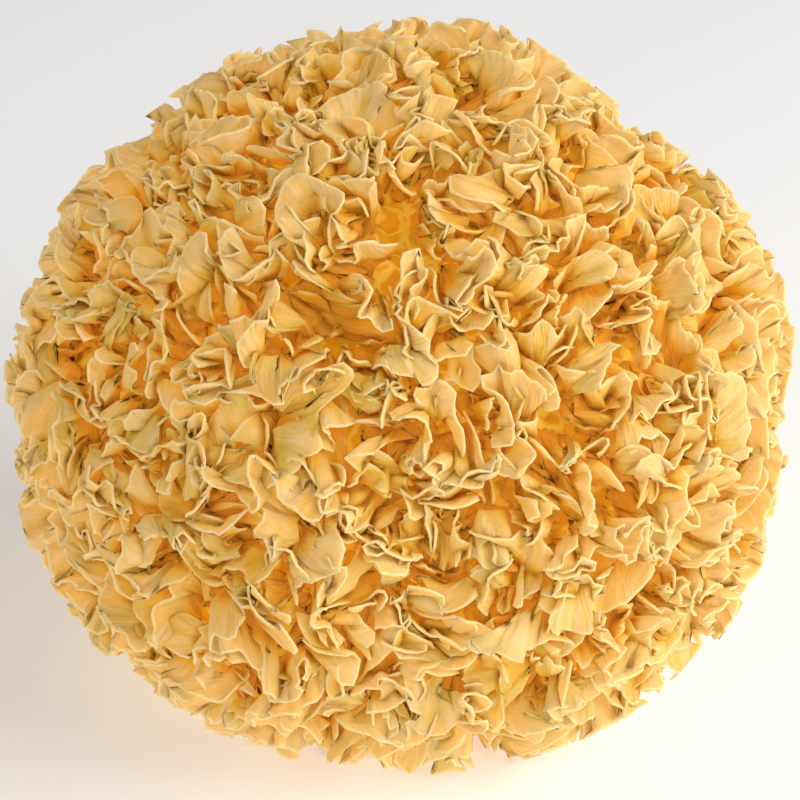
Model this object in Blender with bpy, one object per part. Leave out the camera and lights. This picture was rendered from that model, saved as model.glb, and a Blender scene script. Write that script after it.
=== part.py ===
"""Dried snow fungus: one grown body, a cut foot and a dense heart that carries ruffled fronds.

Metres, +Z up. The origin is on the table, under the middle of the body's outline box.
The fungus rests on the flat cut where it was taken off its log, and -Y faces the viewer.
"""

import math
import random

import bmesh
import bpy
import numpy
from mathutils import Matrix, Vector

MM = 0.001

# Half-sizes of the ball that the frond tips reach, round the growth centre
HALF_WIDTH = 48.6 * MM
HALF_DEPTH = 47.2 * MM
RISE = 45.0 * MM
DROP = 51.0 * MM
CENTRE_HEIGHT = 42.0 * MM

# Swellings and dips of that ball: azimuth and elevation in degrees, height in mm, spread in degrees.
# Azimuth 0 is +X and -90 faces the viewer.
SWELLINGS = (
    (60, 66, 3.0, 17),
    (128, 52, 2.0, 16),
    (38, 38, -2.2, 14),
    (4, 16, 2.6, 22),
    (176, 22, 1.8, 22),
    (-168, -24, 2.6, 24),
    (-14, -34, 3.0, 24),
    (-62, -30, 2.0, 20),
    (-122, -26, 2.0, 20),
    (-84, 8, -3.0, 15),
    (-58, 30, 2.2, 20),
    (-112, 42, 1.4, 20),
    (-150, 10, 1.6, 18),
    (-36, 4, 1.6, 18),
    (96, 12, 2.2, 24),
    (48, -10, 1.6, 22),
    (140, -8, 1.6, 22),
    (92, -34, 2.0, 22),
)

# Fronds
FROND_COUNT = 84
LOWEST_FROND = -0.86
FROND_DEPTH = 11.0 * MM
FROND_HALF_WIDTH = 8.6 * MM
FROND_SEGMENTS = 6
ROOT_NARROWING = 0.35
RUFFLE = 3.6 * MM
RUFFLE_WAVES = 0.62
TIP_DIP = 2.6 * MM
TIP_LEAN = 5.0 * MM
ROOT_THICKNESS = 3.2 * MM
TIP_THICKNESS = 1.6 * MM

# Heart and foot
HEART_COVER = 8.0 * MM
HEART_SUBDIVISIONS = 2
FOOT_RADIUS = 13.0 * MM
FOOT_FLARE = 20.0 * MM
FOOT_HEIGHT = 12.0 * MM
FOOT_SIDES = 24

# Placing
TRIES = 60
ROOM = 9.0 * MM
SEED = 7

WELD = 0.001 * MM


def unit(azimuth, elevation):
    a = math.radians(azimuth)
    e = math.radians(elevation)
    return Vector((math.cos(a) * math.cos(e), math.sin(a) * math.cos(e), math.sin(e)))


CENTRE = Vector((0, 0, CENTRE_HEIGHT))
SWELLING_SHAPES = [(unit(a, e), height * MM, math.radians(spread)) for a, e, height, spread in SWELLINGS]


def reach(direction):
    """How far the frond tips stand from the growth centre in this direction."""
    upright = RISE if direction.z > 0 else DROP
    scaled = Vector((direction.x / HALF_WIDTH, direction.y / HALF_DEPTH, direction.z / upright))
    distance = 1.0 / scaled.length
    for middle, height, spread in SWELLING_SHAPES:
        distance += height * math.exp(-((direction.angle(middle) / spread) ** 2))
    return distance


def clear_scene():
    for obj in list(bpy.data.objects):
        bpy.data.objects.remove(obj, do_unlink=True)


def add_object(name, bm):
    mesh = bpy.data.meshes.new(name)
    bm.to_mesh(mesh)
    bm.free()
    obj = bpy.data.objects.new(name, mesh)
    bpy.context.scene.collection.objects.link(obj)
    return obj


def frond_directions():
    """Directions spread evenly by the golden angle, from the top down to the edge of the foot."""
    golden_angle = math.pi * (3 - math.sqrt(5))
    for i in range(FROND_COUNT):
        z = 1 - (1 - LOWEST_FROND) * (i + 0.5) / FROND_COUNT
        ring = math.sqrt(1 - z * z)
        yield Vector((ring * math.cos(golden_angle * i), ring * math.sin(golden_angle * i), z))


def frond_point(frame, u, v, offset, phase):
    """A point of a frond: u runs across it from -1 to 1, and v from the root to the tip, 0 to 1.

    offset moves it off the frond's middle surface, which waves to either side as it nears the tip.
    """
    outward, across, side = frame
    wave = phase + 2 * math.pi * RUFFLE_WAVES * u
    widening = 1 - ROOT_NARROWING * (1 - v)
    run = FROND_HALF_WIDTH * widening * u
    swing = RUFFLE * v * math.sin(wave) + TIP_LEAN * v * v
    slope = RUFFLE * v * math.cos(wave) * 2 * math.pi * RUFFLE_WAVES / (FROND_HALF_WIDTH * widening)
    steepness = math.hypot(1, slope)
    run -= offset * slope / steepness
    swing += offset / steepness
    middle = outward * reach(outward)
    direction = (middle + across * run + side * swing).normalized()
    dip = TIP_DIP * (0.5 - 0.5 * math.cos(1.7 * wave + phase))
    return CENTRE + direction * (reach(direction) - FROND_DEPTH * (1 - v) - dip * v)


def tip_line(frame, phase):
    steps = [i / FROND_SEGMENTS - 1 for i in range(2 * FROND_SEGMENTS + 1)]
    return numpy.array([frond_point(frame, u, 1.0, 0.0, phase) for u in steps])


def settle(outward, rng, neighbours):
    """Turns a frond the way that leaves the most room between its tip and the ones already there."""
    best = None
    for _ in range(TRIES):
        turn = Matrix.Rotation(rng.uniform(0, 2 * math.pi), 3, outward)
        across = turn @ outward.orthogonal().normalized()
        frame = (outward, across, outward.cross(across))
        phase = rng.uniform(0, 2 * math.pi)
        line = tip_line(frame, phase)
        room = 0.0
        if len(neighbours):
            gaps = numpy.linalg.norm(line[:, None, :] - neighbours[None, :, :], axis=2).min(axis=1)
            room = numpy.minimum(gaps, ROOM).mean() + gaps.min()
        if best is None or room > best[0]:
            best = (room, frame, phase, line)
    return best[1:]


def add_frond(bm, frame, phase):
    """A closed slab, thick at its root in the heart and thin at its ruffled, lobed tip."""
    loops = []
    for v in (0.0, 0.6, 1.0):
        half = 0.5 * (ROOT_THICKNESS + (TIP_THICKNESS - ROOT_THICKNESS) * v)
        across_steps = [2 * i / FROND_SEGMENTS - 1 for i in range(FROND_SEGMENTS + 1)]
        front = [frond_point(frame, u, v, half, phase) for u in across_steps]
        back = [frond_point(frame, u, v, -half, phase) for u in reversed(across_steps)]
        loops.append([bm.verts.new(point) for point in front + back])
    size = len(loops[0])
    for lower, upper in zip(loops, loops[1:]):
        for i in range(size):
            j = (i + 1) % size
            bm.faces.new((lower[i], lower[j], upper[j], upper[i]))
    for loop, order in ((loops[0], 1), (loops[-1], -1)):
        for i in range(FROND_SEGMENTS):
            corners = (loop[i], loop[i + 1], loop[size - 2 - i], loop[size - 1 - i])
            bm.faces.new(corners[::order])


def build_fronds():
    rng = random.Random(SEED)
    bm = bmesh.new()
    tips = numpy.empty((0, 3))
    for outward in frond_directions():
        frame, phase, line = settle(outward, rng, tips)
        add_frond(bm, frame, phase)
        tips = numpy.concatenate((tips, line))
    bmesh.ops.triangulate(bm, faces=bm.faces)
    bmesh.ops.recalc_face_normals(bm, faces=bm.faces)
    return add_object("frond_tool", bm)


def build_heart():
    """The dense middle that the fronds grow out of, a ball of the same outline."""
    bm = bmesh.new()
    bmesh.ops.create_icosphere(bm, subdivisions=HEART_SUBDIVISIONS, radius=1.0)
    for vertex in bm.verts:
        direction = vertex.co.normalized()
        vertex.co = CENTRE + direction * (reach(direction) - HEART_COVER)
    return add_object("snow_fungus", bm)


def build_foot():
    """The short woody foot, wider where it meets the heart and longer than the cut leaves it."""
    bm = bmesh.new()
    bmesh.ops.create_cone(
        bm, cap_ends=True, segments=FOOT_SIDES,
        radius1=FOOT_RADIUS, radius2=FOOT_FLARE, depth=FOOT_HEIGHT,
    )
    bmesh.ops.translate(bm, verts=bm.verts, vec=(0, 0, FOOT_HEIGHT / 2 - 1 * MM))
    return add_object("foot_tool", bm)


def build_ground_block():
    """What the knife takes away: everything under the cut."""
    bm = bmesh.new()
    bmesh.ops.create_cube(bm, size=1.0)
    bmesh.ops.scale(bm, verts=bm.verts, vec=(0.2, 0.2, 0.04))
    bmesh.ops.translate(bm, verts=bm.verts, vec=(0, 0, -0.02))
    return add_object("ground_tool", bm)


def combine(body, tool, operation):
    modifier = body.modifiers.new(operation.title(), "BOOLEAN")
    modifier.operation = operation
    modifier.solver = "EXACT"
    modifier.use_self = True
    modifier.object = tool
    bpy.context.view_layer.update()
    evaluated = body.evaluated_get(bpy.context.evaluated_depsgraph_get())
    mesh = bpy.data.meshes.new_from_object(evaluated)
    body.modifiers.clear()
    body.data = mesh
    bpy.data.objects.remove(tool, do_unlink=True)


def islands(bm):
    """The faces in groups that share edges."""
    waiting = set(bm.faces)
    while waiting:
        group = set()
        front = [waiting.pop()]
        while front:
            face = front.pop()
            group.add(face)
            for edge in face.edges:
                for other in edge.link_faces:
                    if other in waiting:
                        waiting.remove(other)
                        front.append(other)
        yield group


def keep_outer_skin(body):
    """Drops the closed pockets that crossing fronds leave inside, and splits faces into triangles."""
    bm = bmesh.new()
    bm.from_mesh(body.data)
    bmesh.ops.remove_doubles(bm, verts=bm.verts, dist=WELD)
    groups = sorted(islands(bm), key=len, reverse=True)
    for group in groups[1:]:
        bmesh.ops.delete(bm, geom=list(group), context="FACES")
    bmesh.ops.triangulate(bm, faces=bm.faces)
    bm.to_mesh(body.data)
    bm.free()


def centre_on_origin(body):
    """Puts the middle of the outline box over the origin."""
    xs = [vertex.co.x for vertex in body.data.vertices]
    ys = [vertex.co.y for vertex in body.data.vertices]
    middle = Vector(((min(xs) + max(xs)) / 2, (min(ys) + max(ys)) / 2, 0))
    body.data.transform(Matrix.Translation(-middle))


def dried_fungus_material():
    material = bpy.data.materials.new("dried fungus, waxy cream to amber")
    material.use_nodes = True
    shader = material.node_tree.nodes["Principled BSDF"]
    shader.inputs["Base Color"].default_value = (0.72, 0.43, 0.13, 1)
    shader.inputs["Roughness"].default_value = 0.5
    shader.inputs["Metallic"].default_value = 0.0
    return material


def main():
    clear_scene()
    body = build_heart()
    combine(body, build_fronds(), "UNION")
    combine(body, build_foot(), "UNION")
    combine(body, build_ground_block(), "DIFFERENCE")
    keep_outer_skin(body)
    centre_on_origin(body)
    body.data.materials.clear()
    body.data.materials.append(dried_fungus_material())


main()
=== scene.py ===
"""Dried snow fungus: a ball of thin ruffled fronds on a cut foot, grown by a small simulation.

The fronds start as narrow fans on a ball. Their outer edges are then told to be longer than
there is room for, so that they buckle, fold over and pack against each other, as the real ones do.
"""
import math

import bmesh
import bpy
import numpy as np
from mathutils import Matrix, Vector


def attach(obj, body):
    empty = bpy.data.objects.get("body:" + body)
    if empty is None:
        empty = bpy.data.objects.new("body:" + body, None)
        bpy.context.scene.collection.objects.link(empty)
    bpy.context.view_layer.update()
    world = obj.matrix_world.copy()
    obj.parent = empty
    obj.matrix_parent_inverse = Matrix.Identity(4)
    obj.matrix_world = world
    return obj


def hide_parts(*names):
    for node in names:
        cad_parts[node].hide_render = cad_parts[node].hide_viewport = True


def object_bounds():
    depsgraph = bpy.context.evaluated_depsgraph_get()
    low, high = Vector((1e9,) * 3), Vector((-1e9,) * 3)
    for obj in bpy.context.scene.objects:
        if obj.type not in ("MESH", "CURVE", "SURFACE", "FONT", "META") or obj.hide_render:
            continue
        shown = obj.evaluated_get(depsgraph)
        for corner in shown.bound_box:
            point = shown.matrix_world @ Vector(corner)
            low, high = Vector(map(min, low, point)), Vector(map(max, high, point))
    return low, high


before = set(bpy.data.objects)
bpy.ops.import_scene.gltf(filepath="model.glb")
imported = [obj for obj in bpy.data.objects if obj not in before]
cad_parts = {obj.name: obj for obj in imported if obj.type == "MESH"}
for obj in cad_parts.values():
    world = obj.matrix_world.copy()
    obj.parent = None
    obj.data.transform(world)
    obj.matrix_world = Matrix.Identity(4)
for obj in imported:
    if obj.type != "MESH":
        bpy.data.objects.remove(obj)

CAD_LOW, CAD_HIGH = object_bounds()
MM = 0.001

# The outline that the frond tips reach, in millimetres round the growth centre, as in the part
HALF_WIDTH = 48.6
HALF_DEPTH = 47.2
RISE = 45.0
DROP = 51.0
CENTRE_HEIGHT = 42.0
SWELLINGS = (  # azimuth and elevation in degrees, height in mm, spread in degrees
    (60, 66, 3.0, 17),
    (128, 52, 2.0, 16),
    (38, 38, -2.2, 14),
    (4, 16, 2.6, 22),
    (176, 22, 1.8, 22),
    (-168, -24, 2.6, 24),
    (-14, -34, 3.0, 24),
    (-62, -30, 2.0, 20),
    (-122, -26, 2.0, 20),
    (-84, 8, -3.0, 15),
    (-58, 30, 2.2, 20),
    (-112, 42, 1.4, 20),
    (-150, 10, 1.6, 18),
    (-36, 4, 1.6, 18),
    (96, 12, 2.2, 24),
    (48, -10, 1.6, 22),
    (140, -8, 1.6, 22),
    (92, -34, 2.0, 22),
)
CREASES = (  # narrow dips that only the thin fronds follow, given in the same way
    (-85, 6, -2.5, 6),
    (-88, -8, -3.0, 6),
    (-90, -25, -2.5, 7),
    (-133, 16, -2.5, 8),
    (170, 17, -2.2, 7),
    (-175, -9, -2.6, 6),
    (0, 0, -2.0, 6),
)

# Fronds: how many, and the fans that they grow from. Lengths are in millimetres, angles in degrees
FRONDS = 1150
SPIRAL_ARMS = 13
LOWEST_FROND = -0.93  # the sine of its angle over the level of the growth centre
PLACE_SCATTER = 0.04  # as a share of the distance from the growth centre
ROWS = 9
COLUMNS = 17
ROOTED_ROWS = 2
HEART_DEPTH = 9.0
ROOT_SINK = 0.8
ROOT_WIDTH = 3.0
EDGE_WIDTH = 21.0
LENGTH = 16.5
SPROUT_LENGTH = 5.0
SPROUT_WIDTH = 7.0
SPROUT_FLARE = 1.5
SPROUT_RIPPLE = 0.6
SPROUT_BEND = 0.5
SPROUT_UNEVENNESS = 0.3
VIGOUR = (0.75, 1.3)
SHORT_SHARE = 0.12
SHORT_VIGOUR = (0.3, 0.6)
VIGOUR_IN_LENGTH = (0.3, 0.7)  # the share of the length that is the same for all, and the rest
LOBES = (1.4, 3.0)
NOTCH = 0.4
LOBE_WARP = 0.05
LOBE_ROUNDNESS = 0.6
TONGUE_UNEVENNESS = 0.2
TONGUE_LIMITS = (0.35, 1.6)
ROUNDED_ENDS = 0.55
FLARE = 1.3
PATCHINESS = 0.25
PATCH_LIMITS = (0.5, 1.6)
LEAN_CHOICES = 6
DROOP = 0.2
TILT = (15, 62)
PERIOD_SPREAD = (0.85, 1.15)
RIPPLES_ACROSS = 5
RIPPLES_UPWARD = 4

# Growth: counts, shares and factors, except where a value is given in millimetres
STEPS = 160
GROWING = 0.55
MOVING = 0.85
JITTER = 0.03  # millimetres
JITTER_EVERY = 3
PAIRS_EVERY = 8
OUTLINE_EVERY = 4
SETTLING = 16
DRYING_START = 0.45
DRYING_TIME = 0.45
SWOLLEN = 1.15
SPACING = 1.0  # millimetres
PAIR_REACH = 1.3
OWN_NEIGHBOURS = 3
HALF_ROOM = 70  # millimetres
PUSH_LIMIT = 1.3
PULL_SHARE = 0.45
FIT_SHARE = 0.7
SUPPLENESS = 0.05
CURL = 0.07
LEAST_HEADROOM = 0.4  # millimetres
LOW_TIPS = 3.5  # millimetres
CLEARANCE = 0.3  # millimetres
RIM_CRINKLE = 0.68
RIM_START = 0.45
RIM_PATCHINESS = 0.6
RIM_PATCH_LIMITS = (0.2, 1.8)
PUCKER = 0.25
PUCKER_WAVES = 6
PUCKER_LIMIT = 1.5
CRINKLE_STEPS = 40
CRISPNESS = 0.19
RAGGED = 0.12
SHAKE = 0.06  # millimetres
SHAKE_START = 0.3
TIP_CLEARANCE = 0.2  # millimetres
SEED = 5

# Shells, in millimetres
ROOT_THICKNESS = 0.35
TIP_THICKNESS = 0.22
RIM_THICKNESS = 0.32
RIM_SHARPNESS = 30
BOX_MARGIN = 0.1
SHOWN_ROWS = (  # a row of the grown grid, and the step between the columns used of it
    (0, 4),
    (6, 4),
    (9, 2),
    (12, 2),
    (14, 1),
    (15, 1),
    (16, 1),
)

# The base under the fronds, in millimetres
BASE_FOLDS = 2.2
BASE_DETAIL = 6
BASE_WAVES = 5
BASE_FINENESS = (28, 45)
BASE_FOLD_SHARPNESS = 2.2
BASE_SINK = 0.5
FOOT_RADIUS = (12, 18)
UNDERSIDE = -0.8  # the sine of the angle under which the foot can be
BASE_WARP = 0.04
BASE_WARP_FINENESS = 9

# Values kept on the sheets for the materials, among them the amount of painted shade in the folds:
# shares, except where a unit is given
COVER_DISTANCE = 2.6  # millimetres
CROWD_DISTANCE = 1.1  # millimetres
CROWD_FULL = 1.5
DEEP = 0.12  # below the outline, as a share of the outline's own distance from the growth centre
DEPTH_SHADE_SHARE = 0.6
DEPTH_LIMIT = 0.7
COVER_SHADE_SHARE = 0.5
ROOT_SHADE_SHARE = 0.25
CROWD_SHADE_SHARE = 0.36
SPECK_SHARE = 0.0002
FROND_TINT = 0.6
PLACE_TINT = 0.4
CLOUD_WAVES = 8
CLOUD_FINENESS = 0.35
SHEETS_APART = 3.7
GUTTER = 0.03

# Colours, as they are seen on screen
PALE_TIPS = (0.95, 0.82, 0.52)
GOLDEN_TIPS = (0.95, 0.77, 0.38)
# The mottling is paler where the wrinkles rise: partly a random pale tone, partly painted light for
# the shading inside each lobe
MOTTLING_AND_CREST_LIGHT = (0.97, 0.87, 0.68)
# The pale rim band is partly the rolled edge's own paler colour and partly painted light, the glow of
# light passing through the thin edge
RIM_TONE_AND_GLOW = (0.98, 0.89, 0.65)
# Painted shade: the sheets turn deeper amber further inside the ball, under other sheets and where
# sheets touch, in place of shade and of light scattered through them
FOLD_SHADE_COLOURS = (  # how far inside, and the colour there
    (0.30, (0.95, 0.83, 0.38)),
    (0.65, (0.94, 0.76, 0.18)),
    (0.98, (0.91, 0.60, 0.01)),
)
SPECKS = (0.45, 0.25, 0.08)
# The base's darker amber in the pits of its wrinkles is painted shade; the humps carry its golden
# colour
BASE_PIT_SHADE = (0.84, 0.50, 0.02)
BASE_HUMPS = (0.93, 0.71, 0.14)
BASE_SHEETS = (0.94, 0.75, 0.24)
WAXY_SHEEN = (1.0, 0.93, 0.78)

# How far one colour goes over the one under it
MOTTLING_AND_CREST_LIGHT_AMOUNT = 0.5
FOLD_SHADE_AMOUNT = 0.88
SPECK_AMOUNT = 0.8

# Surface
RIM_BAND = (0.0, 0.30)  # millimetres from the edge
MOTTLED_BAND = (0.38, 0.66)
SHADE_BAND = (0.18, 0.95)
SHEET_BAND = (0.03, 0.12)
THROUGH = 0.5
ROUGHNESS = 0.38
SHEEN = 0.5
WRINKLES = 0.8
WRINKLE_HEIGHT = 0.0008  # metres
WRINKLE_DETAIL = 2.0
WRINKLE_ROUGHNESS = 0.62
BASE_SCALE = 260.0  # grains of the pattern in a metre
BASE_WRINKLES = 0.8
BASE_WRINKLE_HEIGHT = 0.001  # metres
BASE_ROUGHNESS = 0.7
BASE_BENDING = 0.004  # metres

# Light: power in watts, places and sizes in metres
BOUNCES = 2
GLOW = 0.48
GLOW_DISTANCE = 0.0012
WORLD = 0.10
KEY = 4.6
KEY_PLACE = (0.56, -0.22, 0.33)
KEY_SIZE = 0.6
FILL = 0.3
FILL_PLACE = (0.38, -0.30, 0.52)
FILL_SIZE = 0.5
KEY_COLOUR = (1.0, 0.97, 0.92)
FILL_COLOUR = (0.97, 0.98, 1.0)
FLOOR_GREY = 0.94
FLOOR_ROUGHNESS = 0.8

# Camera, in degrees, metres and, for the lens, millimetres
CAMERA_ELEVATION = 30.0
CAMERA_DISTANCE = 0.60
CAMERA_LENS = 212.0
CAMERA_SENSOR = 36.0
CAMERA_AIM = (0.0, 0.0, 0.0393)


# The outline

def unit(azimuth, elevation):
    a = math.radians(azimuth)
    e = math.radians(elevation)
    return np.array([math.cos(a) * math.cos(e), math.sin(a) * math.cos(e), math.sin(e)])


def reach(directions):
    """How far the tips stand from the growth centre, for unit vectors in rows x, y and z."""
    upright = np.where(directions[2] > 0, RISE, DROP)
    x = directions[0] / HALF_WIDTH
    y = directions[1] / HALF_DEPTH
    z = directions[2] / upright
    distance = 1.0 / np.sqrt(x * x + y * y + z * z)
    for azimuth, elevation, height, spread in SWELLINGS + CREASES:
        closeness = np.tensordot(unit(azimuth, elevation), directions, 1)
        distance = distance + height * np.exp(2 * (closeness - 1) / math.radians(spread) ** 2)
    return distance


def size_of(vectors):
    return np.sqrt((vectors * vectors).sum(0)) + 1e-6


# Seedlings

def waves(rng, rows, samples, counts):
    """Smooth random curves, one a row, each a sum of sine waves with about these many periods."""
    t = np.linspace(0, 1, samples)[None]
    total = np.zeros((rows, samples))
    for count in counts:
        period = count * rng.uniform(*PERIOD_SPREAD, (rows, 1))
        size = rng.normal(0, 1, (rows, 1))
        total += size * np.sin(2 * math.pi * (period * t + rng.uniform(0, 1, (rows, 1))))
    return total / math.sqrt(len(counts))


def ripples(rng, rows, columns, count):
    """Smooth random values over each frond's sheet, from sine waves that run in random directions."""
    u = np.linspace(0, 1, columns)[None, None, :]
    v = np.linspace(0, 1, rows)[None, :, None]
    total = np.zeros((FRONDS, rows, columns))
    for _ in range(count):
        across = rng.uniform(-RIPPLES_ACROSS, RIPPLES_ACROSS, (FRONDS, 1, 1))
        upward = rng.uniform(-RIPPLES_UPWARD, RIPPLES_UPWARD, (FRONDS, 1, 1))
        total += np.sin(2 * math.pi * (across * u + upward * v + rng.uniform(0, 1, (FRONDS, 1, 1))))
    return total * math.sqrt(2 / count)


def tips_apart(rng, out):
    """The way that each frond leans, chosen so that its tip comes down where there are few others."""
    tips = np.full((3, FRONDS), 1000.0)
    lean = np.zeros_like(out)
    for frond in rng.permutation(FRONDS):
        stem = out[:, frond:frond + 1]
        choices = rng.normal(0, 1, (3, LEAN_CHOICES))
        choices[2] -= DROOP
        choices -= stem * (choices * stem).sum(0)
        choices /= size_of(choices)
        spots = stem * (HALF_WIDTH - HEART_DEPTH / 2) + choices * LENGTH / 2
        nearest = size_of(spots[:, :, None] - tips[:, None, :]).min(1)
        best = np.argmax(nearest)
        lean[:, frond] = choices[:, best]
        tips[:, frond] = spots[:, best]
    return lean


def frond_frames(rng):
    """For each frond, the directions out of the ball, along its root and the way that it leans."""
    golden_angle = math.pi * (3 - math.sqrt(5))
    i = np.arange(FRONDS)
    z = 1 - (1 - LOWEST_FROND) * (i + 0.5) / FRONDS
    ring = np.sqrt(1 - z * z)
    out = np.stack([ring * np.cos(golden_angle * i), ring * np.sin(golden_angle * i), z])
    out += rng.normal(0, PLACE_SCATTER, out.shape)
    out /= size_of(out)
    lean = tips_apart(rng, out)
    along = np.cross(out, lean, axis=0)
    return [part[:, :, None, None] for part in (out, along, lean)]


def seedlings(rng, frames):
    """The small fans that the fronds grow from, as an array of x, y, z by frond, row and column."""
    out, along, lean = frames
    u = np.linspace(-1, 1, COLUMNS)[None, None, :]
    v = np.linspace(0, 1, ROWS)[None, :, None]
    tilt = np.radians(rng.uniform(*TILT, (FRONDS, 1, 1)))
    rise = out * np.cos(tilt) + lean * np.sin(tilt)
    normal = np.cross(along, rise, axis=0)
    run = (ROOT_WIDTH / 2 + SPROUT_FLARE * v) * u
    ripple = SPROUT_RIPPLE * waves(rng, FRONDS, COLUMNS, (1.5, 2.5))[:, None, :] * v
    bend = SPROUT_BEND * waves(rng, FRONDS, ROWS, (0.6,))[:, :, None] * v
    uneven = SPROUT_UNEVENNESS * waves(rng, FRONDS, COLUMNS, (2, 4))[:, None, :] * v
    root = out * (reach(out) - HEART_DEPTH - ROOT_SINK)
    grid = root + rise * (SPROUT_LENGTH * v + uneven) + along * run + normal * (ripple + bend)
    return grid.astype(np.float32), normal


def full_lengths(rng):
    """The lengths that the sheets grow to, along each row and along each column."""
    v = np.linspace(0, 1, ROWS)[None, :, None]
    t = np.linspace(0, 1, COLUMNS)[None, :]
    vigour = rng.uniform(*VIGOUR, (FRONDS, 1, 1))
    stunted = rng.uniform(0, 1, (FRONDS, 1, 1)) < SHORT_SHARE
    vigour = np.where(stunted, rng.uniform(*SHORT_VIGOUR, (FRONDS, 1, 1)), vigour)
    count = rng.uniform(*LOBES, (FRONDS, 1))
    warped = t + LOBE_WARP * waves(rng, FRONDS, COLUMNS, (1.0, 2.0))
    wave = np.sin(math.pi * (count * warped + rng.uniform(0, 1, (FRONDS, 1))))
    lobe = np.abs(wave) ** LOBE_ROUNDNESS
    uneven = 1 + TONGUE_UNEVENNESS * waves(rng, FRONDS, COLUMNS, (1.5, 3.0))
    rounded_ends = 1 - ROUNDED_ENDS * np.abs(2 * t - 1) ** 5
    tongue = (1 + NOTCH * (lobe - 0.75)) * uneven * rounded_ends
    tongue = np.clip(tongue, *TONGUE_LIMITS)[:, None, :]
    same, varying = VIGOUR_IN_LENGTH
    outward = LENGTH * (same + varying * vigour) * tongue / (ROWS - 1)
    width = ROOT_WIDTH + (EDGE_WIDTH * vigour - ROOT_WIDTH) * v ** FLARE
    patches = 1 + PATCHINESS * waves(rng, FRONDS, COLUMNS - 1, (3.0, 5.0))
    across = width * np.clip(patches, *PATCH_LIMITS)[:, None, :] / (COLUMNS - 1)
    return across.astype(np.float32), outward.astype(np.float32)


def curling(rng, normal):
    """A steady push across each sheet, so that its tips curl over, some forwards and some back."""
    curl = waves(rng, FRONDS, COLUMNS, (0.7, 1.5))[None, :, None, :]
    v = np.linspace(0, 1, ROWS)[None, None, :, None]
    return (CURL * normal * curl * v ** 2).astype(np.float32)


# Growth

def pull(a, b, rest):
    """Moves neighbouring points along the line between them, most of the way to their rest length."""
    gap = b - a
    gap *= PULL_SHARE * (1 - rest / size_of(gap))
    a += gap
    b -= gap


def pull_grid(grid, along_rows, along_columns):
    pull(grid[:, :, :, 0:-1:2], grid[:, :, :, 1::2], along_rows[:, :, 0::2])
    pull(grid[:, :, :, 1:-1:2], grid[:, :, :, 2::2], along_rows[:, :, 1::2])
    pull(grid[:, :, 0:-1:2], grid[:, :, 1::2], along_columns[:, 0::2])
    pull(grid[:, :, 1:-1:2], grid[:, :, 2::2], along_columns[:, 1::2])


def unbend(grid, amount):
    """The stiffness of the sheet: each point moves towards the middle of its neighbours."""
    middle = 0.5 * (grid[:, :, :, 2:] + grid[:, :, :, :-2])
    grid[:, :, :, 1:-1] += amount * (middle - grid[:, :, :, 1:-1])
    middle = 0.5 * (grid[:, :, 2:] + grid[:, :, :-2])
    grid[:, :, 1:-1] += amount * (middle - grid[:, :, 1:-1])
    straight_on = 2 * grid[:, :, -2] - grid[:, :, -3]
    grid[:, :, -1] += 0.5 * amount * (straight_on - grid[:, :, -1])


def close_pairs(points, ids, labels, distance):
    """Pairs of points nearer than distance, found through a grid of cells, from different places."""
    spot = np.floor((points[:, ids] + HALF_ROOM) / distance).astype(np.int32)
    side = int(2 * HALF_ROOM / distance) + 3
    key = (spot[0] * side + spot[1]) * side + spot[2]
    order = np.argsort(key, kind="stable")
    ids = ids[order]
    x, y, z = points[:, ids]
    frond, row, column = labels[:, ids]
    cells, first, count = np.unique(key[order], return_index=True, return_counts=True)
    cell_of = np.repeat(np.arange(len(cells)), count)
    place = np.arange(len(ids))
    steps = [(dx, dy, dz) for dx in (0, 1) for dy in (-1, 0, 1) for dz in (-1, 0, 1)]
    left = []
    right = []
    for dx, dy, dz in [step for step in steps if step >= (0, 0, 0)]:
        if (dx, dy, dz) == (0, 0, 0):
            start = place + 1
            end = (first + count)[cell_of]
        else:
            wanted = cells + (dx * side + dy) * side + dz
            found = np.minimum(np.searchsorted(cells, wanted), len(cells) - 1)
            there = cells[found] == wanted
            start = np.where(there, first[found], 0)[cell_of]
            end = np.where(there, first[found] + count[found], 0)[cell_of]
        some = np.nonzero(end > start)[0]
        number = (end - start)[some]
        a = np.repeat(some, number)
        last = np.cumsum(number)
        b = np.arange(len(a)) + np.repeat(start[some] - (last - number), number)
        near = (x[a] - x[b]) ** 2 + (y[a] - y[b]) ** 2 + (z[a] - z[b]) ** 2 < distance ** 2
        a = a[near]
        b = b[near]
        on_sheet = np.abs(row[a] - row[b]) + np.abs(column[a] - column[b])
        apart = (frond[a] != frond[b]) | (on_sheet > OWN_NEIGHBOURS)
        left.append(ids[a[apart]])
        right.append(ids[b[apart]])
    return np.concatenate(left), np.concatenate(right)


def push_apart(points, left, right):
    """Moves pairs of points that are closer than the spacing away from each other."""
    gap = points[:, left] - points[:, right]
    squared = (gap * gap).sum(0)
    touching = np.nonzero(squared < SPACING ** 2)[0]
    left = left[touching]
    right = right[touching]
    distance = np.sqrt(squared[touching]) + 1e-6
    shift = gap[:, touching] * (0.5 * (SPACING - distance) / distance)
    total = points.shape[1]
    crowd = np.bincount(left, minlength=total) + np.bincount(right, minlength=total)
    share = PUSH_LIMIT / np.maximum(crowd, PUSH_LIMIT)
    for axis in range(3):
        moved = np.bincount(left, weights=shift[axis], minlength=total)
        moved -= np.bincount(right, weights=shift[axis], minlength=total)
        points[axis] += moved * share


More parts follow.
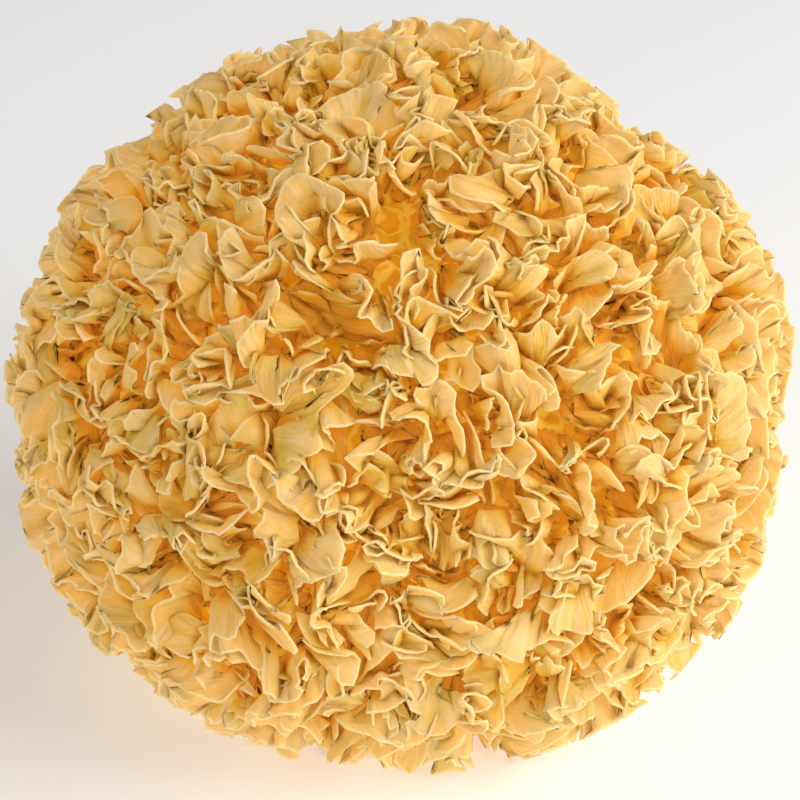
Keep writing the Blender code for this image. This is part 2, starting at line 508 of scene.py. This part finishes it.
def grow_fronds(rng):
    """Lets the seedlings grow, bend and push each other aside, then dry down to the outline."""
    grid, normal = seedlings(rng, frond_frames(rng))
    root = grid[:, :, :ROOTED_ROWS].copy()
    full_rows, full_columns = full_lengths(rng)
    v = np.linspace(0, 1, ROWS)[None, :, None]
    young_rows = (ROOT_WIDTH + (SPROUT_WIDTH - ROOT_WIDTH) * v).astype(np.float32) / (COLUMNS - 1)
    young_columns = np.float32(SPROUT_LENGTH / (ROWS - 1))
    push = curling(rng, normal)
    labels = np.indices(grid.shape[1:]).reshape(3, -1).astype(np.int32)
    free = np.nonzero(labels[1] >= ROOTED_ROWS)[0]
    headroom = LEAST_HEADROOM + LOW_TIPS * rng.uniform(0, 1, (FRONDS, 1, 1)) ** 2
    headroom = np.broadcast_to(headroom, grid.shape[1:]).reshape(-1).astype(np.float32)
    for step in range(STEPS):
        age = np.float32(min(1.0, step / (STEPS * GROWING)))
        along_rows = young_rows + (full_rows - young_rows) * age
        along_columns = np.broadcast_to(
            young_columns + (full_columns - young_columns) * age, (FRONDS, ROWS - 1, COLUMNS))
        if step < STEPS * MOVING:
            grid += push
            if step % JITTER_EVERY == 0:
                grid += rng.normal(0, JITTER, grid.shape).astype(np.float32)
        for _ in range(2):
            pull_grid(grid, along_rows, along_columns)
            grid[:, :, :ROOTED_ROWS] = root
        unbend(grid, SUPPLENESS)
        points = grid.reshape(3, -1)
        if step % PAIRS_EVERY == 0:
            left, right = close_pairs(points, free, labels, SPACING * PAIR_REACH)
        push_apart(points, left, right)
        if step % OUTLINE_EVERY == 0 or step > STEPS - SETTLING:
            drying = min(1.0, max(0.0, (step / STEPS - DRYING_START) / DRYING_TIME))
            swollen = SWOLLEN + (1 - SWOLLEN) * drying
            surface = reach(points / size_of(points)).astype(np.float32)
        distance = size_of(points)
        allowed = np.clip(distance, surface - HEART_DEPTH + CLEARANCE, swollen * surface - headroom)
        points *= 1 + (allowed / distance - 1) * FIT_SHARE
        points[2] = np.maximum(points[2], CLEARANCE - CENTRE_HEIGHT)
        grid[:, :, :ROOTED_ROWS] = root
    return grid


def cover_of(grid):
    """How much lies over each point, from 0 to 1: the other sheets' points just outside it. It sets
    part of the painted shade in the folds.
    """
    points = grid.reshape(3, -1)
    labels = np.indices(grid.shape[1:]).reshape(3, -1).astype(np.int32)
    inner, outer = close_pairs(points, np.arange(points.shape[1]), labels, COVER_DISTANCE)
    distance = size_of(points)
    rise = (distance[outer] - distance[inner]) / COVER_DISTANCE
    total = np.bincount(inner, weights=np.maximum(rise, 0), minlength=points.shape[1])
    total += np.bincount(outer, weights=np.maximum(-rise, 0), minlength=points.shape[1])
    return (total / np.quantile(total, 0.5)).clip(0, 1).reshape(1, *grid.shape[1:])


def crowd_of(grid):
    """How close the other sheets come to each point, from 0 to 1. It sets part of the painted shade
    in the folds.
    """
    points = grid.reshape(3, -1)
    labels = np.indices(grid.shape[1:]).reshape(3, -1).astype(np.int32)
    first, second = close_pairs(points, np.arange(points.shape[1]), labels, CROWD_DISTANCE)
    near = 1 - size_of(points[:, first] - points[:, second]) / CROWD_DISTANCE
    total = np.bincount(first, weights=near, minlength=points.shape[1])
    total += np.bincount(second, weights=near, minlength=points.shape[1])
    return (total / CROWD_FULL).clip(0, 1).reshape(grid.shape[1:])


def refine(grid, axis):
    """Adds a point between each two neighbours along one axis, on a smooth curve through them."""
    grid = np.moveaxis(grid, axis, -1)
    ends = (2 * grid[..., :1] - grid[..., 1:2], grid, 2 * grid[..., -1:] - grid[..., -2:-1])
    padded = np.concatenate(ends, -1)
    finer = np.empty(grid.shape[:-1] + (2 * grid.shape[-1] - 1,), grid.dtype)
    finer[..., ::2] = grid
    near = padded[..., 1:-2] + padded[..., 2:-1]
    far = padded[..., :-3] + padded[..., 3:]
    finer[..., 1::2] = (9 * near - far) / 16
    return np.moveaxis(finer, -1, axis)


def crinkle_rims(grid, rng):
    """Halves the grid's steps and lets the outer part of each sheet grow a little more, unevenly."""
    grid = np.ascontiguousarray(refine(refine(grid, 3), 2))
    rows, columns = grid.shape[2:]
    v = np.linspace(0, 1, rows)[None, :, None]
    outer = np.clip((v - RIM_START) / (1 - RIM_START), 0, 1)
    patches = 1 + RIM_PATCHINESS * waves(rng, FRONDS, columns - 1, (2.0, 4.0))
    patchy = np.clip(patches, *RIM_PATCH_LIMITS)[:, None, :]
    swells = ripples(rng, rows, columns, PUCKER_WAVES)
    puckers = 1 + PUCKER * np.clip(swells, -PUCKER_LIMIT, PUCKER_LIMIT)
    along_rows = size_of(np.diff(grid, axis=3)) * (1 + RIM_CRINKLE * outer ** 1.5 * patchy)
    along_columns = size_of(np.diff(grid, axis=2)) * (1 + 0.5 * RIM_CRINKLE * outer[:, 1:])
    along_rows *= puckers[:, :, 1:]
    along_columns *= puckers[:, 1:]
    along_rows = along_rows.astype(np.float32)
    along_columns = along_columns.astype(np.float32)
    shake = rng.normal(0, SHAKE, grid.shape) * np.clip((v - SHAKE_START) / (1 - SHAKE_START), 0, 1)
    grid += shake.astype(np.float32)
    root = grid[:, :, :ROOTED_ROWS].copy()
    for _ in range(CRINKLE_STEPS):
        pull_grid(grid, along_rows, along_columns)
        unbend(grid, CRISPNESS)
        grid[:, :, :ROOTED_ROWS] = root
    ragged = RAGGED * np.clip(rng.normal(0, 1, (FRONDS, columns)), -1.5, 1.5)
    grid[:, :, -1] += (grid[:, :, -1] - grid[:, :, -2]) * ragged.astype(np.float32)
    distance = size_of(grid)
    grid *= np.minimum(1.0, (reach(grid / distance) - TIP_CLEARANCE) / distance)
    grid[2] = np.maximum(grid[2], CLEARANCE - CENTRE_HEIGHT)
    return grid


# Meshes

def fit_to_part(grid):
    """Moves and stretches the grown fronds by the last millimetre, to fill the part's own box."""
    points = grid.reshape(3, -1)
    low = np.array(CAD_LOW) / MM
    high = np.array(CAD_HIGH) / MM
    margin = RIM_THICKNESS + BOX_MARGIN
    grown_low = points.min(1)
    grown_high = points.max(1)
    for axis in (0, 1):
        scale = (high[axis] - low[axis] - margin) / (grown_high[axis] - grown_low[axis])
        middle = (grown_high[axis] + grown_low[axis]) / 2
        points[axis] = (points[axis] - middle) * scale + (high[axis] + low[axis]) / 2
    points[2] *= (high[2] - CENTRE_HEIGHT - margin / 2) / grown_high[2]
    points[2] = np.maximum(points[2] + CENTRE_HEIGHT, margin)
    return points.reshape(grid.shape)


def sheet_normals(grid):
    """The direction across the sheet at each point, evened out a little along rows and columns."""
    along_u = np.gradient(grid, axis=3)
    along_v = np.gradient(grid, axis=2)
    normal = np.cross(along_u, along_v, axis=0)
    normal /= size_of(normal)
    for axis in (2, 3, 2, 3):
        ahead = np.roll(normal, -1, axis)
        behind = np.roll(normal, 1, axis)
        ends = [slice(None)] * 4
        ends[axis] = slice(1, -1)
        normal[tuple(ends)] = (0.5 * normal + 0.25 * (ahead + behind))[tuple(ends)]
    return normal / size_of(normal)


def distance_from_rim(grid):
    """How far each point is from the free edge along its sheet, in millimetres."""
    steps_out = size_of(np.diff(grid, axis=2))
    to_tip = np.zeros(grid.shape[1:])
    to_tip[:, :-1] = np.cumsum(steps_out[:, ::-1], axis=1)[:, ::-1]
    steps_along = size_of(np.diff(grid, axis=3))
    from_left = np.zeros(grid.shape[1:])
    from_left[:, :, 1:] = np.cumsum(steps_along, axis=2)
    to_right = from_left[:, :, -1:] - from_left
    return np.minimum(to_tip, np.minimum(from_left, to_right))


def clouds(rng, grid):
    """Smooth random values in space, so that neighbouring fronds are paler or darker together."""
    total = np.zeros(grid.shape[1:])
    for _ in range(CLOUD_WAVES):
        wave = np.tensordot(rng.normal(0, CLOUD_FINENESS, 3), grid, 1)
        total += np.sin(wave + rng.uniform(0, 2 * math.pi))
    return 0.5 + 0.2 * total


def sheet_places(grid):
    """Where each point is on its own sheet: across it, along it, and far apart for each sheet."""
    _, fronds, rows, columns = grid.shape
    u = np.linspace(-0.5, 0.5, columns)[None, None, :]
    v = np.linspace(0, 1, rows)[None, :, None]
    number = np.arange(fronds)[:, None, None]
    across = u * (ROOT_WIDTH + (EDGE_WIDTH - ROOT_WIDTH) * v) + 0 * number
    return np.stack([across, v * LENGTH / 4 + 0 * across, SHEETS_APART * number + 0 * across])


def both_sides(grid):
    """The front and back of each sheet, a little thicker at the root and along the rim."""
    v = np.linspace(0, 1, grid.shape[2])[:, None]
    thickness = ROOT_THICKNESS + (TIP_THICKNESS - ROOT_THICKNESS) * v
    thickness = thickness + (RIM_THICKNESS - TIP_THICKNESS) * v ** RIM_SHARPNESS
    offset = sheet_normals(grid) * (thickness / 2)
    return grid + offset, grid - offset


def rim_line(grid):
    """The line that rounds off the outer edge between the front and the back."""
    outward = grid[:, :, -1] - grid[:, :, -2]
    return grid[:, :, -1] + outward / size_of(outward) * RIM_THICKNESS / 2


def shell_pattern(columns):
    """The faces of one shell, and for each of its vertices the side, row and column it comes from.

    Side 0 is the front, 1 the rim and 2 the back. Rows nearer the root use fewer of the columns.
    """
    loop = [(0, row, step) for row, step in SHOWN_ROWS]
    loop += [(1, SHOWN_ROWS[-1][0], 1)]
    loop += [(2, row, step) for row, step in reversed(SHOWN_ROWS)]
    vertices = []
    lines = []
    for side, row, step in loop:
        picked = range(0, columns, step)
        lines.append(np.arange(len(vertices), len(vertices) + len(picked)))
        vertices += [(side, row, column) for column in picked]
    quads = []
    triangles = []
    for lower, upper in zip(lines, lines[1:] + lines[:1]):
        if len(lower) == len(upper):
            quads += zip(lower[:-1], lower[1:], upper[1:], upper[:-1])
            continue
        few, many = (lower, upper) if len(lower) < len(upper) else (upper, lower)
        turn = 1 if few is lower else -1
        for i in range(len(few) - 1):
            a, b = few[i], few[i + 1]
            left, middle, right = many[2 * i:2 * i + 3]
            triangles.append((a, middle, left)[::turn])
            triangles.append((a, b, middle)[::turn])
            triangles.append((b, right, middle)[::turn])
    first = [line[0] for line in lines]
    last = [line[-1] for line in lines]
    rim = len(SHOWN_ROWS)
    for i in range(rim - 1):
        j = len(lines) - 1 - i
        quads.append((first[i], first[i + 1], first[j - 1], first[j]))
        quads.append((last[j], last[j - 1], last[i + 1], last[i]))
    triangles.append((first[rim - 1], first[rim], first[rim + 1]))
    triangles.append((last[rim + 1], last[rim], last[rim - 1]))
    return np.array(vertices).T, np.array(quads), np.array(triangles)


def unrolled_places(count, side, row, column, columns):
    """A place on the unit square for every vertex: the fronds side by side, each unrolled flat."""
    across = math.ceil(math.sqrt(count * 1.5))
    down = math.ceil(count / across)
    last_row = SHOWN_ROWS[-1][0]
    along = np.where(side == 0, row, np.where(side == 1, last_row + 1, 2 * last_row + 2 - row))
    frond = np.arange(count)[:, None]
    shown = 1 - 2 * GUTTER
    x = (frond % across + GUTTER + shown * column / (columns - 1)) / across
    y = (frond // across + GUTTER + shown * along / (2 * last_row + 2)) / down
    return np.stack((x, y), -1).reshape(-1, 2)


def add_mesh(name, vertices, quads, triangles, material):
    mesh = bpy.data.meshes.new(name)
    mesh.vertices.add(len(vertices))
    mesh.vertices.foreach_set("co", vertices.astype(np.float32).ravel())
    corners = np.concatenate((quads.ravel(), triangles.ravel()))
    starts = np.concatenate((np.arange(len(quads)) * 4, quads.size + np.arange(len(triangles)) * 3))
    mesh.loops.add(len(corners))
    mesh.loops.foreach_set("vertex_index", corners)
    mesh.polygons.add(len(starts))
    mesh.polygons.foreach_set("loop_start", starts)
    mesh.update(calc_edges=True)
    mesh.shade_smooth()
    mesh.materials.append(material)
    piece = bpy.data.objects.new(name, mesh)
    bpy.context.scene.collection.objects.link(piece)
    return piece, corners


def add_values(mesh, name, values):
    attribute = mesh.attributes.new(name, "FLOAT", "POINT")
    attribute.data.foreach_set("value", values.astype(np.float32).ravel())


def place_piece(piece):
    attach(piece, "root")
    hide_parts("snow_fungus")


def build_fronds(material):
    rng = np.random.default_rng(SEED)
    folded = grow_fronds(rng)
    cover = refine(refine(cover_of(folded), 3), 2)[0]
    grown = crinkle_rims(folded, rng)
    depth = 1 - size_of(grown) / reach(grown / size_of(grown))
    height = np.linspace(0, 1, grown.shape[2])[None, :, None]
    # inside is the amount of painted shade: it grows with depth below the outline, with the sheets
    # lying over a point, towards each frond's root and where other sheets come close
    inside = np.clip(DEPTH_SHADE_SHARE * depth / DEEP, 0, DEPTH_LIMIT)
    inside = inside + COVER_SHADE_SHARE * cover + ROOT_SHADE_SHARE * (1 - height) ** 2
    grown = fit_to_part(grown)
    inside += CROWD_SHADE_SHARE * crowd_of(grown)
    from_rim = distance_from_rim(grown)
    tint = FROND_TINT * rng.uniform(0, 1, (FRONDS, 1, 1)) + PLACE_TINT * clouds(rng, grown)
    tint = np.clip(tint, 0, 1)
    speck = rng.uniform(0, 1, grown.shape[1:]) < SPECK_SHARE
    sheet = sheet_places(grown)
    columns = grown.shape[3]
    front, back = both_sides(grown)
    rim = np.broadcast_to(rim_line(grown)[:, :, None], grown.shape)
    sides = np.stack((front, rim, back), 2) * MM
    (side, row, column), quads, triangles = shell_pattern(columns)
    for arm in range(SPIRAL_ARMS):
        members = np.arange(arm, FRONDS, SPIRAL_ARMS)
        count = len(members)
        vertices = sides[:, members][:, :, side, row, column].reshape(3, -1).T
        first = (np.arange(count) * len(side))[:, None, None]
        arm_quads = (first + quads).reshape(-1, 4)
        arm_triangles = (first + triangles).reshape(-1, 3)
        name = f"fronds_spiral_{arm + 1:02d}"
        piece, corners = add_mesh(name, vertices, arm_quads, arm_triangles, material)
        add_values(piece.data, "from_rim", np.where(side == 1, 0, from_rim[members][:, row, column]))
        add_values(piece.data, "inside", inside[members][:, row, column])
        add_values(piece.data, "tint", tint[members][:, row, column])
        add_values(piece.data, "speck", speck[members][:, row, column])
        along_sheet = piece.data.attributes.new("sheet", "FLOAT_VECTOR", "POINT")
        points = sheet[:, members][:, :, row, column].reshape(3, -1).T
        along_sheet.data.foreach_set("vector", points.astype(np.float32).ravel())
        places = piece.data.uv_layers.new(name="OFBake")
        spots = unrolled_places(count, side, row, column, columns)[corners]
        places.data.foreach_set("uv", spots.astype(np.float32).ravel())
        place_piece(piece)


def build_base(material):
    """The grown-together middle under the fronds, with the foot and its flat cut."""
    bm = bmesh.new()
    bmesh.ops.create_icosphere(bm, subdivisions=BASE_DETAIL, radius=1.0)
    rng = np.random.default_rng(SEED + 1)
    directions = np.array([vertex.co[:] for vertex in bm.verts]).T
    directions /= size_of(directions)
    folds = np.zeros(directions.shape[1])
    warp = 0
    for turn in (1, 2):
        turned = np.roll(directions, turn, axis=0)
        warp = warp + BASE_WARP * np.sin(BASE_WARP_FINENESS * turned + turn)
    for _ in range(BASE_WAVES):
        axis = rng.normal(0, 1, 3)
        axis *= rng.uniform(*BASE_FINENESS) / np.linalg.norm(axis)
        wave = np.sin(np.tensordot(axis, directions + warp, 1))
        folds = np.maximum(folds, 1 - BASE_FOLD_SHARPNESS * np.abs(wave))
    distance = reach(directions) - HEART_DEPTH - BASE_SINK + BASE_FOLDS * folds
    points = directions * distance
    points[2] += CENTRE_HEIGHT
    ring = np.sqrt(points[0] ** 2 + points[1] ** 2)
    inner, outer = FOOT_RADIUS
    under = (directions[2] < UNDERSIDE) & (ring < outer)
    foot = np.clip((outer - ring) / (outer - inner), 0, 1)
    points[2] = np.where(under, points[2] * (1 - foot), points[2])
    for vertex, point in zip(bm.verts, points.T):
        vertex.co = Vector(point) * MM
    mesh = bpy.data.meshes.new("base_with_cut_foot")
    bm.to_mesh(mesh)
    bm.free()
    mesh.shade_smooth()
    mesh.materials.append(material)
    piece = bpy.data.objects.new("base_with_cut_foot", mesh)
    bpy.context.scene.collection.objects.link(piece)
    place_piece(piece)


# Materials

def linear(colour):
    """The shader's linear value of a colour as it is seen on screen."""
    return tuple(c / 12.92 if c <= 0.04045 else ((c + 0.055) / 1.055) ** 2.4 for c in colour) + (1.0,)


def new_material(name):
    material = bpy.data.materials.new(name)
    material.use_nodes = True
    return material, material.node_tree, material.node_tree.nodes["Principled BSDF"]


def fungus_skin_group():
    """The fine wrinkles of dried fungus, as a height that varies over it."""
    group = bpy.data.node_groups.new("dried fungus skin", "ShaderNodeTree")
    face = group.interface
    face.new_socket("Place", in_out="INPUT", socket_type="NodeSocketVector")
    face.new_socket("Scale", in_out="INPUT", socket_type="NodeSocketFloat")
    face.new_socket("Height", in_out="OUTPUT", socket_type="NodeSocketFloat")
    inside = group.nodes.new("NodeGroupInput")
    outside = group.nodes.new("NodeGroupOutput")
    wrinkle = group.nodes.new("ShaderNodeTexNoise")
    wrinkle.inputs["Detail"].default_value = WRINKLE_DETAIL
    wrinkle.inputs["Roughness"].default_value = WRINKLE_ROUGHNESS
    group.links.new(inside.outputs["Place"], wrinkle.inputs["Vector"])
    group.links.new(inside.outputs["Scale"], wrinkle.inputs["Scale"])
    group.links.new(wrinkle.outputs["Fac"], outside.inputs["Height"])
    return group


def ramp(nodes, stops):
    node = nodes.new("ShaderNodeValToRGB")
    elements = node.color_ramp.elements
    while len(elements) > 1:
        elements.remove(elements[-1])
    elements[0].position = stops[0][0]
    elements[0].color = linear(stops[0][1])
    for position, colour in stops[1:]:
        elements.new(position).color = linear(colour)
    return node


def mix_colour(tree, factor, first, second, amount=1.0):
    """Mixes from the first colour towards the second; each may be a socket or a fixed colour."""
    mix = tree.nodes.new("ShaderNodeMix")
    mix.data_type = "RGBA"
    scaled = tree.nodes.new("ShaderNodeMath")
    scaled.operation = "MULTIPLY"
    scaled.use_clamp = True
    scaled.inputs[1].default_value = amount
    tree.links.new(factor, scaled.inputs[0])
    tree.links.new(scaled.outputs["Value"], mix.inputs["Factor"])
    for socket, colour in ((mix.inputs["A"], first), (mix.inputs["B"], second)):
        if isinstance(colour, tuple):
            socket.default_value = linear(colour)
        else:
            tree.links.new(colour, socket)
    return mix.outputs["Result"]


def value_of(tree, name):
    node = tree.nodes.new("ShaderNodeAttribute")
    node.attribute_name = name
    return node.outputs["Fac"]


def between(tree, value, low, high):
    """A value that rises smoothly from 0 to 1 while the given one goes from low to high."""
    rise = tree.nodes.new("ShaderNodeMapRange")
    rise.interpolation_type = "SMOOTHSTEP"
    rise.inputs["From Min"].default_value = low
    rise.inputs["From Max"].default_value = high
    tree.links.new(value, rise.inputs["Value"])
    return rise.outputs["Result"]


def frond_material(skin_group):
    material, tree, shader = new_material("dried frond")
    skin = tree.nodes.new("ShaderNodeGroup")
    skin.node_tree = skin_group
    skin.inputs["Scale"].default_value = 1.0
    sheet = tree.nodes.new("ShaderNodeAttribute")
    sheet.attribute_name = "sheet"
    tree.links.new(sheet.outputs["Vector"], skin.inputs["Place"])
    tips = mix_colour(tree, value_of(tree, "tint"), PALE_TIPS, GOLDEN_TIPS)
    # Paler mottling on the wrinkle crests: partly a random tone, partly painted light
    wrinkled = between(tree, skin.outputs["Height"], *MOTTLED_BAND)
    mottled_and_crest_lit = mix_colour(tree, wrinkled, tips, MOTTLING_AND_CREST_LIGHT, MOTTLING_AND_CREST_LIGHT_AMOUNT)
    # Painted shade: the amber fold colours are laid over the sheets by the inside value, standing in
    # for shade and for light scattered through the sheets
    folds = ramp(tree.nodes, FOLD_SHADE_COLOURS)
    inside = value_of(tree, "inside")
    tree.links.new(inside, folds.inputs["Fac"])
    # Pale rim band: partly the edge's own colour, partly painted light shining through the thin edge
    rim = between(tree, value_of(tree, "from_rim"), *RIM_BAND)
    with_rim_tone_and_glow = mix_colour(tree, rim, RIM_TONE_AND_GLOW, mottled_and_crest_lit)
    shade_mask = between(tree, inside, *SHADE_BAND)
    with_painted_shade = mix_colour(tree, shade_mask, with_rim_tone_and_glow, folds.outputs["Color"], FOLD_SHADE_AMOUNT)
    specked = mix_colour(tree, value_of(tree, "speck"), with_painted_shade, SPECKS, SPECK_AMOUNT)
    tree.links.new(specked, shader.inputs["Base Color"])
    bump = tree.nodes.new("ShaderNodeBump")
    bump.inputs["Strength"].default_value = WRINKLES
    bump.inputs["Distance"].default_value = WRINKLE_HEIGHT
    tree.links.new(skin.outputs["Height"], bump.inputs["Height"])
    tree.links.new(bump.outputs["Normal"], shader.inputs["Normal"])
    shader.inputs["Roughness"].default_value = ROUGHNESS
    shader.inputs["Specular IOR Level"].default_value = SHEEN
    shader.inputs["Specular Tint"].default_value = linear(WAXY_SHEEN)
    through = tree.nodes.new("ShaderNodeBsdfTranslucent")
    tree.links.new(specked, through.inputs["Color"])
    tree.links.new(bump.outputs["Normal"], through.inputs["Normal"])
    both = tree.nodes.new("ShaderNodeMixShader")
    both.inputs["Fac"].default_value = THROUGH
    tree.links.new(shader.outputs["BSDF"], both.inputs[1])
    tree.links.new(through.outputs["BSDF"], both.inputs[2])
    tree.links.new(both.outputs["Shader"], tree.nodes["Material Output"].inputs["Surface"])
    return material


def base_material(skin_group):
    material, tree, shader = new_material("grown-together base")
    skin = tree.nodes.new("ShaderNodeGroup")
    skin.node_tree = skin_group
    skin.inputs["Scale"].default_value = BASE_SCALE
    place = tree.nodes.new("ShaderNodeTexCoord")
    tree.links.new(place.outputs["Object"], skin.inputs["Place"])
    # Painted shade: darker amber in the wrinkle pits, golden on the humps
    pit_shaded = mix_colour(tree, skin.outputs["Height"], BASE_PIT_SHADE, BASE_HUMPS)
    bent = tree.nodes.new("ShaderNodeVectorMath")
    bent.operation = "MULTIPLY_ADD"
    bent.inputs[1].default_value = (BASE_BENDING, BASE_BENDING, BASE_BENDING)
    tree.links.new(skin.outputs["Height"], bent.inputs[0])
    tree.links.new(place.outputs["Object"], bent.inputs[2])
    sheets = tree.nodes.new("ShaderNodeTexVoronoi")
    sheets.feature = "DISTANCE_TO_EDGE"
    sheets.inputs["Scale"].default_value = BASE_SCALE
    tree.links.new(bent.outputs["Vector"], sheets.inputs["Vector"])
    edge = between(tree, sheets.outputs["Distance"], *SHEET_BAND)
    lined = mix_colour(tree, edge, BASE_SHEETS, pit_shaded)
    tree.links.new(lined, shader.inputs["Base Color"])
    bump = tree.nodes.new("ShaderNodeBump")
    bump.inputs["Strength"].default_value = BASE_WRINKLES
    bump.inputs["Distance"].default_value = BASE_WRINKLE_HEIGHT
    tree.links.new(skin.outputs["Height"], bump.inputs["Height"])
    tree.links.new(bump.outputs["Normal"], shader.inputs["Normal"])
    shader.inputs["Roughness"].default_value = BASE_ROUGHNESS
    return material


# Studio

def aim(obj, target):
    direction = Vector(target) - obj.location
    obj.rotation_euler = direction.to_track_quat("-Z", "Y").to_euler()


def add_softbox(name, location, size, power, colour):
    light = bpy.data.lights.new(name, "AREA")
    light.energy = power
    light.size = size
    light.color = colour
    lamp = bpy.data.objects.new(name, light)
    bpy.context.scene.collection.objects.link(lamp)
    lamp.location = location
    aim(lamp, CAMERA_AIM)


def build_studio():
    world = bpy.data.worlds.new("soft room")
    bpy.context.scene.world = world
    world.use_nodes = True
    background = world.node_tree.nodes["Background"]
    background.inputs["Color"].default_value = (1.0, 1.0, 1.0, 1.0)
    background.inputs["Strength"].default_value = WORLD
    add_softbox("key from the right", KEY_PLACE, KEY_SIZE, KEY, KEY_COLOUR)
    add_softbox("fill from the front", FILL_PLACE, FILL_SIZE, FILL, FILL_COLOUR)
    mesh = bpy.data.meshes.new("floor")
    corners = [(x, y, 0.0) for x, y in ((-2, -2), (2, -2), (2, 2), (-2, 2))]
    mesh.from_pydata(corners, [], [(0, 1, 2, 3)])
    material, _, shader = new_material("pale floor")
    shader.inputs["Base Color"].default_value = (FLOOR_GREY, FLOOR_GREY, FLOOR_GREY, 1.0)
    shader.inputs["Roughness"].default_value = FLOOR_ROUGHNESS
    mesh.materials.append(material)
    floor = bpy.data.objects.new("floor", mesh)
    bpy.context.scene.collection.objects.link(floor)
    bpy.context.scene.view_settings.view_transform = "Standard"
    cycles = bpy.context.scene.cycles
    cycles.diffuse_bounces = BOUNCES
    cycles.transmission_bounces = BOUNCES
    cycles.use_fast_gi = True
    cycles.fast_gi_method = "ADD"
    world.light_settings.ao_factor = GLOW
    world.light_settings.distance = GLOW_DISTANCE


def build_camera():
    data = bpy.data.cameras.new("photo camera")
    data.lens = CAMERA_LENS
    data.sensor_width = CAMERA_SENSOR
    camera = bpy.data.objects.new("photo camera", data)
    bpy.context.scene.collection.objects.link(camera)
    elevation = math.radians(CAMERA_ELEVATION)
    away = Vector((0.0, -math.cos(elevation), math.sin(elevation)))
    camera.location = Vector(CAMERA_AIM) + away * CAMERA_DISTANCE
    aim(camera, CAMERA_AIM)
    bpy.context.scene.camera = camera


build_camera()
skin = fungus_skin_group()
build_fronds(frond_material(skin))
build_base(base_material(skin))
build_studio()
